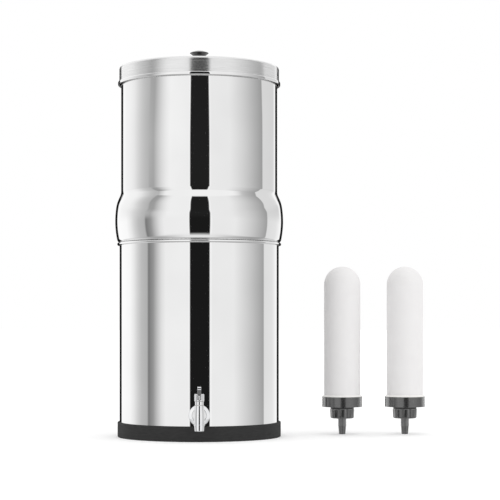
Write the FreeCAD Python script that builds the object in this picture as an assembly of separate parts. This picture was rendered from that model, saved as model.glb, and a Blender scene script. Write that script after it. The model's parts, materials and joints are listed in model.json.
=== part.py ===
import FreeCAD, Part
import math
import os

# Gravity water filter: two stacked stainless vessels, a lid with a knob, a lever tap at the front,
# a rubber boot under the base, and the pair of ceramic candles that stand beside it.
# Sizes are in millimetres. Z is up, the tap faces -Y, and the origin is the middle of the boot's underside.

# Clearances, and how far a cutting shape reaches past what it cuts
fixed_gap = 0.05
lift_gap = 0.3
boot_stretch_gap = 0.1
cut_margin = 1.0

# Ridges of every drawn thread, as shares of its pitch
thread_valley_share = 0.2
thread_flank_share = 0.25
thread_crest_share = 0.15

# Sheet metal
wall_sheet = 0.6
floor_sheet = 1.0

# Rubber boot under the lower vessel
boot_wall = 2.7
boot_height = 20.0
boot_floor = 3.0
boot_edge_round = 1.2
boot_groove_count = 3
boot_groove_spacing = 12.0
boot_groove_inset = 14.8
boot_groove_width = 3.0
boot_groove_depth = 1.0

# Lower vessel
lower_radius = 108.0
rim_bead_height = 260.6
rim_bead_radius = 1.9
rim_bead_turn = 300.0
lower_floor_rise = 6.0
floor_corner = 3.0

# Upper vessel, from its spigot up through the bulge to the straight wall and the top hem
spigot_depth = 8.6
seat_turn = 60.0
bulge_swell = 5.9
bulge_arc_radius = 125.0
bulge_lower_angle = 11.5
bulge_upper_angle = 8.5
shoulder_arc_radius = 40.0
cone_angle = 24.0
neck_arc_radius = 15.0
upper_setback = 2.1
upper_hem_height = 499.6
hem_bead_radius = 1.0
hem_turn = 270.0
upper_flange_height = 3.4
candle_hole_radius = 6.25
candle_hole_spacing = 100.0

# Lid
lid_side_gap = 1.8
lid_corner = 3.6
lid_skirt_depth = 23.6
lid_bead_radius = 1.2
lid_bead_height = 4.6
lid_bead_close = 110.0
lid_land_width = 24.3
lid_plateau_rise = 2.5
lid_step_bend = 4.0
lid_step_angle = 40.0

# Knob, with the screw that holds it from below
knob_radius = 12.5
knob_height = 20.6
knob_base_radius = 8.6
knob_neck_radius = 6.4
knob_neck_height = 6.5
knob_throat_radius = 9.0
knob_brim_height = 17.2
knob_brim_thickness = 1.4
knob_flare_height = 3.0
knob_washer_radius = 8.2
knob_washer_height = 0.5
screw_radius = 2.5
screw_hole_radius = 2.7
screw_reach = 11.0
screw_head_radius = 4.6
screw_head_height = 2.6
screw_head_edge = 0.5
screw_slot_width = 1.2
screw_slot_depth = 1.2
screw_washer_radius = 6.5
screw_washer_height = 1.0

# Tap: the horizontal shank runs along Y, and the valve chamber stands on its own vertical axis
tap_height = 34.4
tap_reach = 24.0
shank_radius = 8.0
shank_root_radius = 7.4
shank_inner_length = 15.4
shank_pitch = 1.5
shank_hole_radius = 8.2
inlet_bore_radius = 4.2
escutcheon_radius = 13.9
escutcheon_thickness = 2.2
escutcheon_edge = 0.6
escutcheon_crown_radius = 9.6
escutcheon_swell = 0.15
gasket_radius = 12.5
outer_gasket_thickness = 2.0
inner_gasket_thickness = 2.9
shoulder_radius = 9.4
shoulder_thickness = 2.0
barrel_root_radius = 8.4
barrel_radius = 6.8
steel_washer_radius = 12.8
steel_washer_thickness = 1.5
locknut_across_flats = 22.0
locknut_thickness = 5.0
locknut_bevel_share = 0.9
spout_mouth_height = 15.6
spout_mouth_radius = 6.5
spout_lip_height = 23.6
spout_lip_radius = 7.1
spout_lip_edge = 1.0
bell_foot_radius = 6.7
bell_top_height = 48.5
bell_top_radius = 5.9
bell_waist_swell = 0.4
outlet_bore_radius = 4.3
seat_height = 24.5
chamber_radius = 5.2
bonnet_gasket_thickness = 0.5
bonnet_gasket_inset = 0.1
bonnet_plug_depth = 5.0
bonnet_neck_radius = 5.5
bonnet_neck_height = 5.2
crown_radius = 6.3
crown_height = 9.2
crown_slot_depth = 7.9
crown_slot_side_gap = 0.25
crown_chamfer = 0.6

# Valve stem, its seals and spring
stem_radius = 1.9
stem_bore_radius = 2.0
stem_tang_thickness = 1.8
cup_radius = 4.9
cup_height = 4.0
cup_socket_depth = 2.6
cup_chamfer = 0.5
cup_disc_height = 1.8
cup_waist_height = 2.2
cup_waist_radius = 3.9
cup_top_radius = 4.3
oring_wire_radius = 0.5
oring_height_in_plug = 2.2
spring_mean_radius = 3.4
spring_wire_radius = 0.4
spring_turns = 6

# Lever: a cam foot in the crown's slot, and an arm that leans forward
lever_thickness = 4.6
lever_slot = 2.2
fork_front_reach = 10.2
fork_back_reach = 6.5
fork_drop = 6.8
fork_rise = 3.1
cam_base_radius = 3.4
cam_lift_per_radian = 1.8
lever_travel = 45.0
cam_steps = 6
cam_back_reach = 2.6
heel_drop = 0.4
arm_lean = 40.0
arm_length = 14.6
arm_front_start = 5.0
arm_back_start = 3.4
arm_half_width = 2.1
arm_back_half_width = 2.6
arm_tip_half_width = 2.6
pin_radius = 1.0
pin_hole_radius = 1.03
tang_hole_radius = 1.06

# Ceramic candle, standing on its stem
candle_distance = 197.9
candle_spacing = 87.1
candle_setback = 36.5
candle_radius = 25.0
candle_height = 232.0
candle_wall = 8.0
stem_thread_radius = 6.0
stem_thread_root = 5.4
stem_thread_pitch = 1.5
stem_tip_radius = 4.5
stem_taper_height = 11.0
stem_bore = 3.0
cap_radius = 27.5
cap_underside = 38.0
cap_height = 14.0
cap_side_gap = 0.15
cap_floor = 4.0
cap_groove_depth = 0.5
cap_groove_width = 1.0
cap_groove_count = 3
pad_thickness = 1.6
potting_width = 1.9
potting_height = 2.4
seal_radius = 16.0
seal_thickness = 3.0
nut_radius = 16.8
nut_foot_radius = 16.2
nut_thickness = 13.0
nut_foot_round = 2.0
nut_top_chamfer = 0.6
nut_flutes = 10
nut_flute_radius = 3.0
nut_flute_depth = 1.5
nut_bore_radius = 6.06
nut_counterbore_radius = 9.0
nut_counterbore_depth = 4.0

up = FreeCAD.Vector(0, 0, 1)
forward = FreeCAD.Vector(0, -1, 0)
backward = FreeCAD.Vector(0, 1, 0)
middle = FreeCAD.Vector(0, 0, 0)

# Heights and radii that follow from the sizes above
boot_radius = lower_radius + boot_stretch_gap + boot_wall
bulge_radius = lower_radius + bulge_swell
upper_radius = lower_radius - upper_setback
lid_radius = upper_radius + lid_side_gap + wall_sheet
lid_plateau_radius = lid_radius - lid_land_width
lower_inner_radius = lower_radius - wall_sheet
bead_centre_radius = lower_inner_radius + rim_bead_radius
spigot_radius = lower_inner_radius - lift_gap
upper_floor_height = rim_bead_height - spigot_depth
lid_top_height = upper_hem_height + lift_gap + wall_sheet
plateau_height = lid_top_height + lid_plateau_rise
shank_inner_end = lower_radius - shank_inner_length
escutcheon_back = lower_radius + outer_gasket_thickness
escutcheon_front = escutcheon_back + escutcheon_thickness
tap_axis_distance = lower_radius + tap_reach
tap_centre = FreeCAD.Vector(0, -tap_axis_distance, 0)
bonnet_shoulder = bell_top_height + bonnet_gasket_thickness
crown_foot = bonnet_shoulder + bonnet_neck_height
crown_top = crown_foot + crown_height
slot_floor = crown_top - crown_slot_depth
pin_height = slot_floor + lift_gap + cam_base_radius
cup_foot = seat_height + fixed_gap
cup_top = cup_foot + cup_height
plug_foot = bonnet_shoulder - bonnet_plug_depth
stem_lift = cam_lift_per_radian * math.radians(lever_travel)
cap_top = cap_underside + cap_height
cup_inner_floor = cap_underside + cap_floor
nut_foot = cap_underside - seal_thickness - nut_thickness


def in_profile(radius, height):
    """A point of a turned profile, in the XZ half plane."""
    return FreeCAD.Vector(radius, 0, height)


def turned(edges):
    """The solid made by turning a closed profile about Z."""
    face = Part.Face(Part.Wire(edges))
    return face.revolve(middle, up, 360)


def turned_polygon(points):
    """A solid turned from straight lines through (radius, height) points."""
    corners = [in_profile(*point) for point in points]
    return turned(Part.makePolygon(corners + corners[:1]).Edges)


def tube(inner, outer, foot, top):
    """A plain ring about Z."""
    return turned_polygon([(inner, foot), (outer, foot), (outer, top), (inner, top)])


def rod_along_y(radius, start, end):
    """A rod in the tap's horizontal axis, between two distances in front of the origin."""
    return Part.makeCylinder(radius, end - start, FreeCAD.Vector(0, -start, tap_height), forward)


def parallel_path(start, heading, moves, offset):
    """Edges that run a steady offset to the left of a path of straight runs and tangent bends."""
    angle = math.radians(heading)
    radius = start[0] - offset * math.sin(angle)
    height = start[1] + offset * math.cos(angle)
    edges = []
    for move in moves:
        here = in_profile(radius, height)
        if move[0] == "ahead":
            radius += move[1] * math.cos(angle)
            height += move[1] * math.sin(angle)
            edges.append(Part.makeLine(here, in_profile(radius, height)))
            continue
        side = math.copysign(1.0, move[2])
        bend = move[1] - side * offset
        turn = math.radians(move[2])
        centre_radius = radius - side * bend * math.sin(angle)
        centre_height = height + side * bend * math.cos(angle)
        points = [here]
        for share in (0.5, 1.0):
            reached = angle + share * turn
            radius = centre_radius + side * bend * math.sin(reached)
            height = centre_height - side * bend * math.cos(reached)
            points.append(in_profile(radius, height))
        edges.append(Part.Arc(*points).toShape())
        angle += turn
    return edges


def pressed_sheet(start, heading, moves, thickness):
    """A turned sheet with its metal to the left of the path, or to the right where thickness is negative."""
    near = parallel_path(start, heading, moves, 0.0)
    far = parallel_path(start, heading, moves, thickness)
    first = Part.makeLine(near[0].firstVertex(True).Point, far[0].firstVertex(True).Point)
    last = Part.makeLine(near[-1].lastVertex(True).Point, far[-1].lastVertex(True).Point)
    return turned(Part.__sortEdges__(near + far + [first, last]))


def base_boot():
    """The rubber boot: a flat floor with grip grooves below, and a wall round the vessel's foot."""
    inner = lower_radius + boot_stretch_gap
    boot = turned_polygon([
        (0, 0),
        (boot_radius, 0),
        (boot_radius, boot_height),
        (inner, boot_height),
        (inner, boot_floor),
        (0, boot_floor),
    ])
    outer_edges = [
        edge for edge in boot.Edges
        if edge.Curve.TypeId == "Part::GeomCircle" and abs(edge.Curve.Radius - boot_radius) < fixed_gap
    ]
    boot = boot.makeFillet(boot_edge_round, outer_edges)
    for groove in range(boot_groove_count):
        radius = boot_radius - boot_groove_inset - groove * boot_groove_spacing
        boot = boot.cut(tube(radius, radius + boot_groove_width, -cut_margin, boot_groove_depth))
    return boot


def lower_wall():
    """The lower vessel's wall, curled outward at the rim, with the tap's hole in front."""
    moves = [
        ("ahead", rim_bead_height - boot_floor),
        ("bend", rim_bead_radius, -rim_bead_turn),
    ]
    wall = pressed_sheet((lower_inner_radius, boot_floor), 90, moves, -wall_sheet)
    return wall.cut(rod_along_y(shank_hole_radius, shank_inner_end, escutcheon_front))


def lower_floor():
    """The lower vessel's raised floor, with its flange turned down inside the wall."""
    flange_radius = lower_inner_radius - fixed_gap
    moves = [
        ("ahead", lower_floor_rise - floor_corner),
        ("bend", floor_corner, 90),
        ("ahead", flange_radius - floor_corner),
    ]
    return pressed_sheet((flange_radius, boot_floor), 90, moves, floor_sheet)


def upper_wall():
    """The upper vessel's wall: spigot, seat over the rim bead, bulge, neck, straight wall and hem."""
    seat_radius = rim_bead_radius + lift_gap
    low = math.radians(bulge_lower_angle)
    high = math.radians(bulge_upper_angle)
    cone = math.radians(cone_angle)
    steep = math.radians(seat_turn)
    seat_end = bead_centre_radius - seat_radius * math.cos(steep)
    under_bulge = bulge_radius - bulge_arc_radius * (1 - math.cos(low)) - seat_end
    lower_arc_radius = under_bulge / (math.cos(low) - math.cos(steep))
    cone_foot_radius = (
        bulge_radius
        - bulge_arc_radius * (1 - math.cos(high))
        - shoulder_arc_radius * (math.cos(high) - math.cos(cone))
    )
    cone_top_radius = upper_radius + neck_arc_radius * (1 - math.cos(cone))
    cone_length = (cone_foot_radius - cone_top_radius) / math.sin(cone)
    neck_height = (
        rim_bead_height
        + seat_radius * math.sin(steep)
        + lower_arc_radius * (math.sin(steep) - math.sin(low))
        + bulge_arc_radius * (math.sin(low) + math.sin(high))
        + shoulder_arc_radius * (math.sin(cone) - math.sin(high))
        + cone_length * math.cos(cone)
        + neck_arc_radius * math.sin(cone)
    )
    moves = [
        ("ahead", spigot_depth),
        ("bend", seat_radius, -seat_turn),
        ("bend", lower_arc_radius, seat_turn - bulge_lower_angle),
        ("bend", bulge_arc_radius, bulge_lower_angle + bulge_upper_angle),
        ("bend", shoulder_arc_radius, cone_angle - bulge_upper_angle),
        ("ahead", cone_length),
        ("bend", neck_arc_radius, -cone_angle),
        ("ahead", upper_hem_height - hem_bead_radius - neck_height),
        ("bend", hem_bead_radius, hem_turn),
    ]
    return pressed_sheet((spigot_radius, upper_floor_height), 90, moves, wall_sheet)


def upper_floor():
    """The upper vessel's floor: a pan welded into the spigot, with a hole for each candle's stem."""
    flange_radius = spigot_radius - wall_sheet - fixed_gap
    moves = [
        ("ahead", flange_radius - floor_corner),
        ("bend", floor_corner, 90),
        ("ahead", upper_flange_height - floor_corner),
    ]
    pan = pressed_sheet((0, upper_floor_height), 0, moves, floor_sheet)
    for side in (-1, 1):
        hole_foot = FreeCAD.Vector(side * candle_hole_spacing / 2, 0, upper_floor_height - cut_margin)
        pan = pan.cut(Part.makeCylinder(candle_hole_radius, floor_sheet + 2 * cut_margin, hole_foot))
    return pan


def lid_shell():
    """The lid: a raised plateau, a flat land, a skirt over the upper vessel and an outward curl."""
    slope = math.radians(lid_step_angle)
    bend_drop = 2 * lid_step_bend * (1 - math.cos(slope))
    slope_length = (lid_plateau_rise - bend_drop) / math.sin(slope)
    step_width = 2 * lid_step_bend * math.sin(slope) + slope_length * math.cos(slope)
    land = lid_radius - lid_corner - lid_plateau_radius - step_width
    moves = [
        ("ahead", lid_plateau_radius - screw_hole_radius),
        ("bend", lid_step_bend, -lid_step_angle),
        ("ahead", slope_length),
        ("bend", lid_step_bend, lid_step_angle),
        ("ahead", land),
        ("bend", lid_corner, -90),
        ("ahead", lid_skirt_depth - lid_corner),
        ("bend", lid_bead_radius - wall_sheet, 180),
        ("ahead", lid_bead_height - 2 * lid_bead_radius),
        ("bend", lid_bead_radius - wall_sheet, lid_bead_close),
    ]
    return pressed_sheet((screw_hole_radius, plateau_height), 0, moves, -wall_sheet)


def domed(edge_radius, edge_height, top_height):
    """An arc centred on the axis, from an edge up or down to the pole."""
    rise = top_height - edge_height
    ball = (edge_radius ** 2 + rise ** 2) / (2 * rise)
    half_angle = 0.5 * math.asin(edge_radius / abs(ball))
    middle_radius = abs(ball) * math.sin(half_angle)
    middle_height = top_height - ball * (1 - math.cos(half_angle))
    return Part.Arc(
        in_profile(edge_radius, edge_height),
        in_profile(middle_radius, middle_height),
        in_profile(0, top_height),
    ).toShape()


def lid_knob():
    """The mushroom knob, turned in one piece with a blind hole for its screw."""
    foot = plateau_height + knob_washer_height
    top = foot + knob_height
    brim = foot + knob_brim_height
    half_brim = knob_brim_thickness / 2
    throat = brim - knob_flare_height
    bore = screw_radius + fixed_gap
    bore_top = plateau_height + screw_reach + fixed_gap
    neck_curve = Part.Arc(
        in_profile(knob_base_radius, foot),
        in_profile(knob_neck_radius, foot + knob_neck_height),
        in_profile(knob_throat_radius, throat),
    ).toShape()
    brim_edge = Part.Arc(
        in_profile(knob_radius - half_brim, brim - half_brim),
        in_profile(knob_radius, brim),
        in_profile(knob_radius - half_brim, brim + half_brim),
    ).toShape()
    under_brim = Part.makeLine(
        in_profile(knob_throat_radius, throat), in_profile(knob_radius - half_brim, brim - half_brim),
    )
    core = Part.makePolygon([
        in_profile(0, top),
        in_profile(0, bore_top),
        in_profile(bore, bore_top),
        in_profile(bore, foot),
        in_profile(knob_base_radius, foot),
    ])
    dome = domed(knob_radius - half_brim, brim + half_brim, top)
    return turned([neck_curve, under_brim, brim_edge, dome] + core.Edges)


def lid_knob_washer():
    """The fibre washer between knob and lid."""
    return tube(screw_hole_radius, knob_washer_radius, plateau_height, plateau_height + knob_washer_height)


def lid_screw_washer():
    """The steel washer under the lid."""
    underside = plateau_height - wall_sheet
    return tube(screw_hole_radius, screw_washer_radius, underside - screw_washer_height, underside)


def lid_screw():
    """The knob's screw, with its domed and slotted head below the lid."""
    seat = plateau_height - wall_sheet - screw_washer_height
    head_foot = seat - screw_head_height
    head_edge = seat - screw_head_edge
    head_round = domed(screw_head_radius, head_edge, head_foot)
    outline = [
        in_profile(screw_head_radius, head_edge),
        in_profile(screw_head_radius, seat),
        in_profile(screw_radius, seat),
        in_profile(screw_radius, plateau_height + screw_reach),
        in_profile(0, plateau_height + screw_reach),
        in_profile(0, head_foot),
    ]
    screw = turned([head_round] + Part.makePolygon(outline).Edges)
    slot = Part.makeBox(
        2 * screw_head_radius, screw_slot_width, screw_slot_depth,
        FreeCAD.Vector(-screw_head_radius, -screw_slot_width / 2, head_foot),
    )
    return screw.cut(slot)


def thread_rings(root, crest, foot, top, pitch):
    """Evenly spaced thread ridges about Z, as one revolved comb."""
    count = int((top - foot) / pitch)
    points = [(0, foot), (root, foot)]
    for ridge in range(count):
        flank_start = foot + (ridge + thread_valley_share) * pitch
        crest_start = flank_start + thread_flank_share * pitch
        crest_end = crest_start + thread_crest_share * pitch
        points.append((root, flank_start))
        points.append((crest, crest_start))
        points.append((crest, crest_end))
        points.append((root, crest_end + thread_flank_share * pitch))
    points.append((root, top))
    points.append((0, top))
    return turned_polygon(points)


def laid_forward(shape, start):
    """A shape built up from Z = 0, laid along the tap's horizontal axis from that distance in front."""
    shape = shape.copy()
    shape.rotate(middle, FreeCAD.Vector(1, 0, 0), 90)
    shape.translate(FreeCAD.Vector(0, -start, tap_height))
    return shape


def tap_outer_gasket():
    """The rubber ring outside the wall, moulded to its curve."""
    ring = rod_along_y(gasket_radius, shank_inner_end, escutcheon_back)
    ring = ring.cut(rod_along_y(shank_hole_radius, shank_inner_end, escutcheon_back))
    return ring.cut(Part.makeCylinder(lower_radius + fixed_gap, 2 * tap_height))


def tap_inner_gasket():
    """The rubber ring inside the wall, moulded to its curve."""
    back = lower_inner_radius - inner_gasket_thickness
    ring = rod_along_y(gasket_radius, back, lower_radius)
    ring = ring.cut(rod_along_y(shank_hole_radius, back, lower_radius))
    return ring.common(Part.makeCylinder(lower_inner_radius - fixed_gap, 2 * tap_height))


def tap_washer():
    """The steel washer between the inner gasket and the locknut."""
    front = lower_inner_radius - inner_gasket_thickness
    ring = rod_along_y(steel_washer_radius, front - steel_washer_thickness, front)
    return ring.cut(rod_along_y(shank_hole_radius, front - steel_washer_thickness, front))


def tap_locknut():
    """The hexagonal nut that clamps the tap from inside."""
    front = lower_inner_radius - inner_gasket_thickness - steel_washer_thickness
    corner_radius = locknut_across_flats / 2 / math.cos(math.pi / 6)
    corners = [
        FreeCAD.Vector(corner_radius * math.cos(turn), corner_radius * math.sin(turn), 0)
        for turn in (corner * math.pi / 3 for corner in range(7))
    ]
    hexagon = Part.Face(Part.makePolygon(corners)).extrude(up * locknut_thickness)
    chamfer = locknut_bevel_share * (corner_radius - locknut_across_flats / 2)
    bevel = turned_polygon([
        (0, 0),
        (corner_radius - chamfer, 0),
        (corner_radius, chamfer / 2),
        (corner_radius, locknut_thickness),
        (0, locknut_thickness),
    ])
    nut = laid_forward(hexagon.common(bevel), front - locknut_thickness)
    bore = shank_radius + fixed_gap
    return nut.cut(rod_along_y(bore, front - locknut_thickness, front))


def tap_escutcheon():
    """The dished and polished disc in front of the outer gasket."""
    middle_radius = (escutcheon_radius + escutcheon_crown_radius) / 2
    middle_height = (escutcheon_edge + escutcheon_thickness) / 2 + escutcheon_swell
    slope = Part.Arc(
        in_profile(escutcheon_radius, escutcheon_edge),
        in_profile(middle_radius, middle_height),
        in_profile(escutcheon_crown_radius, escutcheon_thickness),
    ).toShape()
    rest = Part.makePolygon([
        in_profile(escutcheon_crown_radius, escutcheon_thickness),
        in_profile(shank_hole_radius, escutcheon_thickness),
        in_profile(shank_hole_radius, 0),
        in_profile(escutcheon_radius, 0),
        in_profile(escutcheon_radius, escutcheon_edge),
    ])
    return laid_forward(turned([slope] + rest.Edges), escutcheon_back)


def tap_body():
    """The tap's body: threaded shank, shoulder, barrel, bell-shaped valve chamber and spout."""
    thread_start = shank_inner_end
    thread_end = lower_inner_radius
    thread = thread_rings(shank_root_radius, shank_radius, 0, thread_end - thread_start, shank_pitch)
    shank = laid_forward(thread, thread_start)
    shank = shank.fuse(rod_along_y(shank_radius, thread_end, escutcheon_front))
    shoulder_front = escutcheon_front + shoulder_thickness
    shank = shank.fuse(rod_along_y(shoulder_radius, escutcheon_front, shoulder_front))
    barrel = Part.makeCone(
        barrel_root_radius, barrel_radius, tap_axis_distance - shoulder_front,
        FreeCAD.Vector(0, -shoulder_front, tap_height), forward,
    )
    lip_low = spout_lip_height - spout_lip_edge
    spout = turned_polygon([
        (0, spout_mouth_height),
        (spout_mouth_radius, spout_mouth_height),
        (spout_lip_radius, lip_low),
        (spout_lip_radius, spout_lip_height),
        (0, spout_lip_height),
    ])
    bell_waist = in_profile(
        (bell_foot_radius + bell_top_radius) / 2 + bell_waist_swell,
        (spout_lip_height + bell_top_height) / 2,
    )
    bell_side = Part.Arc(
        in_profile(bell_foot_radius, spout_lip_height),
        bell_waist,
        in_profile(bell_top_radius, bell_top_height),
    ).toShape()
    bell = turned([bell_side] + Part.makePolygon([
        in_profile(bell_top_radius, bell_top_height),
        in_profile(0, bell_top_height),
        in_profile(0, spout_lip_height),
        in_profile(bell_foot_radius, spout_lip_height),
    ]).Edges)
    upright = spout.fuse(bell)
    upright.translate(tap_centre)
    body = shank.fuse(barrel).fuse(upright)
    body = body.cut(rod_along_y(inlet_bore_radius, thread_start, tap_axis_distance))
    chamber_depth = bell_top_height - seat_height
    body = body.cut(Part.makeCylinder(chamber_radius, chamber_depth, tap_centre + up * seat_height))
    outlet_length = seat_height - spout_mouth_height
    outlet = Part.makeCylinder(outlet_bore_radius, outlet_length, tap_centre + up * spout_mouth_height)
    return body.cut(outlet).removeSplitter()


def tap_bonnet_gasket():
    """The thin gasket between the valve chamber and the bonnet."""
    ring = tube(chamber_radius, bell_top_radius - bonnet_gasket_inset, bell_top_height, bonnet_shoulder)
    ring.translate(tap_centre)
    return ring


def tap_bonnet():
    """The bonnet: a plug in the chamber, a neck, and a slotted crown with an ear each side of the lever."""
    oring_centre = plug_foot + oring_height_in_plug
    groove_radius = stem_radius + 2 * oring_wire_radius + 2 * fixed_gap
    groove_half = oring_wire_radius + fixed_gap
    outline = [
        (stem_bore_radius, plug_foot),
        (chamber_radius - fixed_gap, plug_foot),
        (chamber_radius - fixed_gap, bonnet_shoulder),
        (bonnet_neck_radius, bonnet_shoulder),
        (bonnet_neck_radius, crown_foot - crown_chamfer),
        (crown_radius, crown_foot),
        (crown_radius, crown_top - crown_chamfer),
        (crown_radius - crown_chamfer, crown_top),
        (stem_bore_radius, crown_top),
        (stem_bore_radius, oring_centre + groove_half),
        (groove_radius, oring_centre + groove_half),
        (groove_radius, oring_centre - groove_half),
        (stem_bore_radius, oring_centre - groove_half),
    ]
    bonnet = turned_polygon(outline)
    slot_width = lever_thickness + 2 * crown_slot_side_gap
    slot_reach = crown_radius + cut_margin
    slot = Part.makeBox(
        slot_width, 2 * slot_reach, crown_slot_depth,
        FreeCAD.Vector(-slot_width / 2, -slot_reach, slot_floor),
    )
    bonnet = bonnet.cut(slot)
    bonnet.translate(tap_centre)
    return bonnet


def tap_stem_seal():
    """The O-ring that seals the stem inside the bonnet."""
    ring_radius = stem_radius + fixed_gap + oring_wire_radius
    ring = Part.makeTorus(ring_radius, oring_wire_radius)
    ring.translate(tap_centre + up * (plug_foot + oring_height_in_plug))
    return ring


def tap_stem():
    """The valve stem: a round rod with a flat tang at the top for the lever's pin."""
    foot = cup_top - cup_socket_depth
    tang_foot = slot_floor - stem_lift - lift_gap
    tang_top = pin_height + stem_radius
    stem = Part.makeCylinder(stem_radius, tang_top - foot, FreeCAD.Vector(0, 0, foot))
    for edge in (-stem_radius - stem_tang_thickness / 2, stem_tang_thickness / 2):
        flat_foot = FreeCAD.Vector(edge, -stem_radius, tang_foot)
        stem = stem.cut(Part.makeBox(stem_radius, 2 * stem_radius, tang_top - tang_foot, flat_foot))
    eye_start = FreeCAD.Vector(-stem_radius, 0, pin_height)
    eye = Part.makeCylinder(tang_hole_radius, 2 * stem_radius, eye_start, FreeCAD.Vector(1, 0, 0))
    stem = stem.cut(eye)
    stem.translate(tap_centre)
    return stem


def tap_seat_cup():
    """The silicone plug on the stem's foot, which closes the outlet."""
    socket = stem_radius + fixed_gap
    socket_foot = cup_top - cup_socket_depth - fixed_gap
    cup = turned_polygon([
        (0, cup_foot),
        (cup_radius - cup_chamfer, cup_foot),
        (cup_radius, cup_foot + cup_chamfer),
        (cup_radius, cup_foot + cup_disc_height),
        (cup_waist_radius, cup_foot + cup_waist_height),
        (cup_top_radius, cup_top),
        (socket, cup_top),
        (socket, socket_foot),
        (0, socket_foot),
    ])
    cup.translate(tap_centre)
    return cup


def tap_spring():
    """The coil spring that holds the plug on its seat."""
    foot = cup_top + spring_wire_radius + fixed_gap
    length = plug_foot - cup_top - 2 * (spring_wire_radius + fixed_gap)
    helix = Part.makeHelix(length / spring_turns, length, spring_mean_radius)
    start = FreeCAD.Vector(spring_mean_radius, 0, 0)
    section = Part.Wire(Part.makeCircle(spring_wire_radius, start, backward))
    coil = Part.Wire(helix).makePipeShell([section], True, True)
    coil.translate(tap_centre + up * foot)
    return coil


def lever_point(ahead, above):
    """A point of the lever's side outline, measured forward and up from the pin."""
    return FreeCAD.Vector(0, -tap_axis_distance - ahead, pin_height + above)


def arm_point(reach, width):
    """A point of the leaning arm, measured along it from the pin and across it towards the front."""
    lean = math.radians(arm_lean)
    return lever_point(
        reach * math.sin(lean) + width * math.cos(lean),
        reach * math.cos(lean) - width * math.sin(lean),
    )


def tap_lever():
    """The lever: a cam foot that lifts the stem steadily as the arm is pulled forward and down."""
    cam = []
    for step in range(cam_steps + 1):
        turn = math.radians(lever_travel) * step / cam_steps
        height = cam_base_radius + cam_lift_per_radian * turn
        ahead = height * math.sin(turn) + cam_lift_per_radian * math.cos(turn)
        above = -height * math.cos(turn) + cam_lift_per_radian * math.sin(turn)
        cam.append(lever_point(ahead, above))
    curve = Part.BSplineCurve()
    curve.interpolate(cam)
    arm_front_foot = arm_point(arm_front_start, arm_half_width)
    arm_front_tip = arm_point(arm_length, arm_tip_half_width)
    arm_tip = arm_point(arm_length + arm_tip_half_width, 0)
    arm_back_tip = arm_point(arm_length, -arm_tip_half_width)
    arm_back_foot = arm_point(arm_back_start, -arm_back_half_width)
    heel_top = lever_point(-cam_base_radius, -heel_drop)
    heel = lever_point(-cam_back_reach, -cam_base_radius)
    outline = [
        curve.toShape(),
        Part.makeLine(cam[-1], arm_front_foot),
        Part.makeLine(arm_front_foot, arm_front_tip),
        Part.Arc(arm_front_tip, arm_tip, arm_back_tip).toShape(),
        Part.makeLine(arm_back_tip, arm_back_foot),
        Part.makeLine(arm_back_foot, heel_top),
        Part.makeLine(heel_top, heel),
        Part.makeLine(heel, cam[0]),
    ]
    blade = Part.Face(Part.Wire(outline)).extrude(FreeCAD.Vector(lever_thickness, 0, 0))
    blade.translate(FreeCAD.Vector(-lever_thickness / 2, 0, 0))
    fork_start = lever_point(fork_front_reach, -fork_drop)
    fork_start.x = -lever_slot / 2
    fork = Part.makeBox(lever_slot, fork_front_reach + fork_back_reach, fork_drop + fork_rise, fork_start)
    return blade.cut(fork).cut(pin_rod(pin_hole_radius, lever_thickness))


def pin_rod(radius, length):
    """A rod on the lever's hinge axis."""
    foot = FreeCAD.Vector(-length / 2, -tap_axis_distance, pin_height)
    return Part.makeCylinder(radius, length, foot, FreeCAD.Vector(1, 0, 0))


def tap_pin():
    """The lever's hinge pin, which turns in the stem's eye."""
    return pin_rod(pin_radius, lever_thickness)


def candle_shell():
    """The hollow ceramic dome that the water seeps through."""
    outer_mid = candle_height - candle_radius
    inner_radius = candle_radius - candle_wall
    foot = cup_inner_floor + fixed_gap
    slant = math.sqrt(0.5)
    outer_dome = Part.Arc(
        in_profile(candle_radius, outer_mid),
        in_profile(candle_radius * slant, outer_mid + candle_radius * slant),
        in_profile(0, candle_height),
    ).toShape()
    inner_dome = Part.Arc(
        in_profile(0, candle_height - candle_wall),
        in_profile(inner_radius * slant, outer_mid + inner_radius * slant),
        in_profile(inner_radius, outer_mid),
    ).toShape()
    return turned([
        outer_dome,
        Part.makeLine(in_profile(0, candle_height), in_profile(0, candle_height - candle_wall)),
        inner_dome,
        Part.makeLine(in_profile(inner_radius, outer_mid), in_profile(inner_radius, foot)),
        Part.makeLine(in_profile(inner_radius, foot), in_profile(candle_radius, foot)),
        Part.makeLine(in_profile(candle_radius, foot), in_profile(candle_radius, outer_mid)),
    ])


def candle_core():
    """The carbon filling inside the ceramic shell."""
    radius = candle_radius - candle_wall - fixed_gap
    mid = candle_height - candle_radius
    foot = cup_inner_floor + pad_thickness + fixed_gap
    slant = math.sqrt(0.5)
    dome = Part.Arc(
        in_profile(radius, mid),
        in_profile(radius * slant, mid + radius * slant),
        in_profile(0, mid + radius),
    ).toShape()
    corners = [(0, mid + radius), (0, foot), (radius, foot), (radius, mid)]
    rest = Part.makePolygon([in_profile(*corner) for corner in corners])
    return turned([dome] + rest.Edges)


def candle_pad():
    """The felt disc that keeps the carbon out of the stem."""
    radius = candle_radius - candle_wall - fixed_gap
    return tube(0, radius, cup_inner_floor, cup_inner_floor + pad_thickness)


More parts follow.
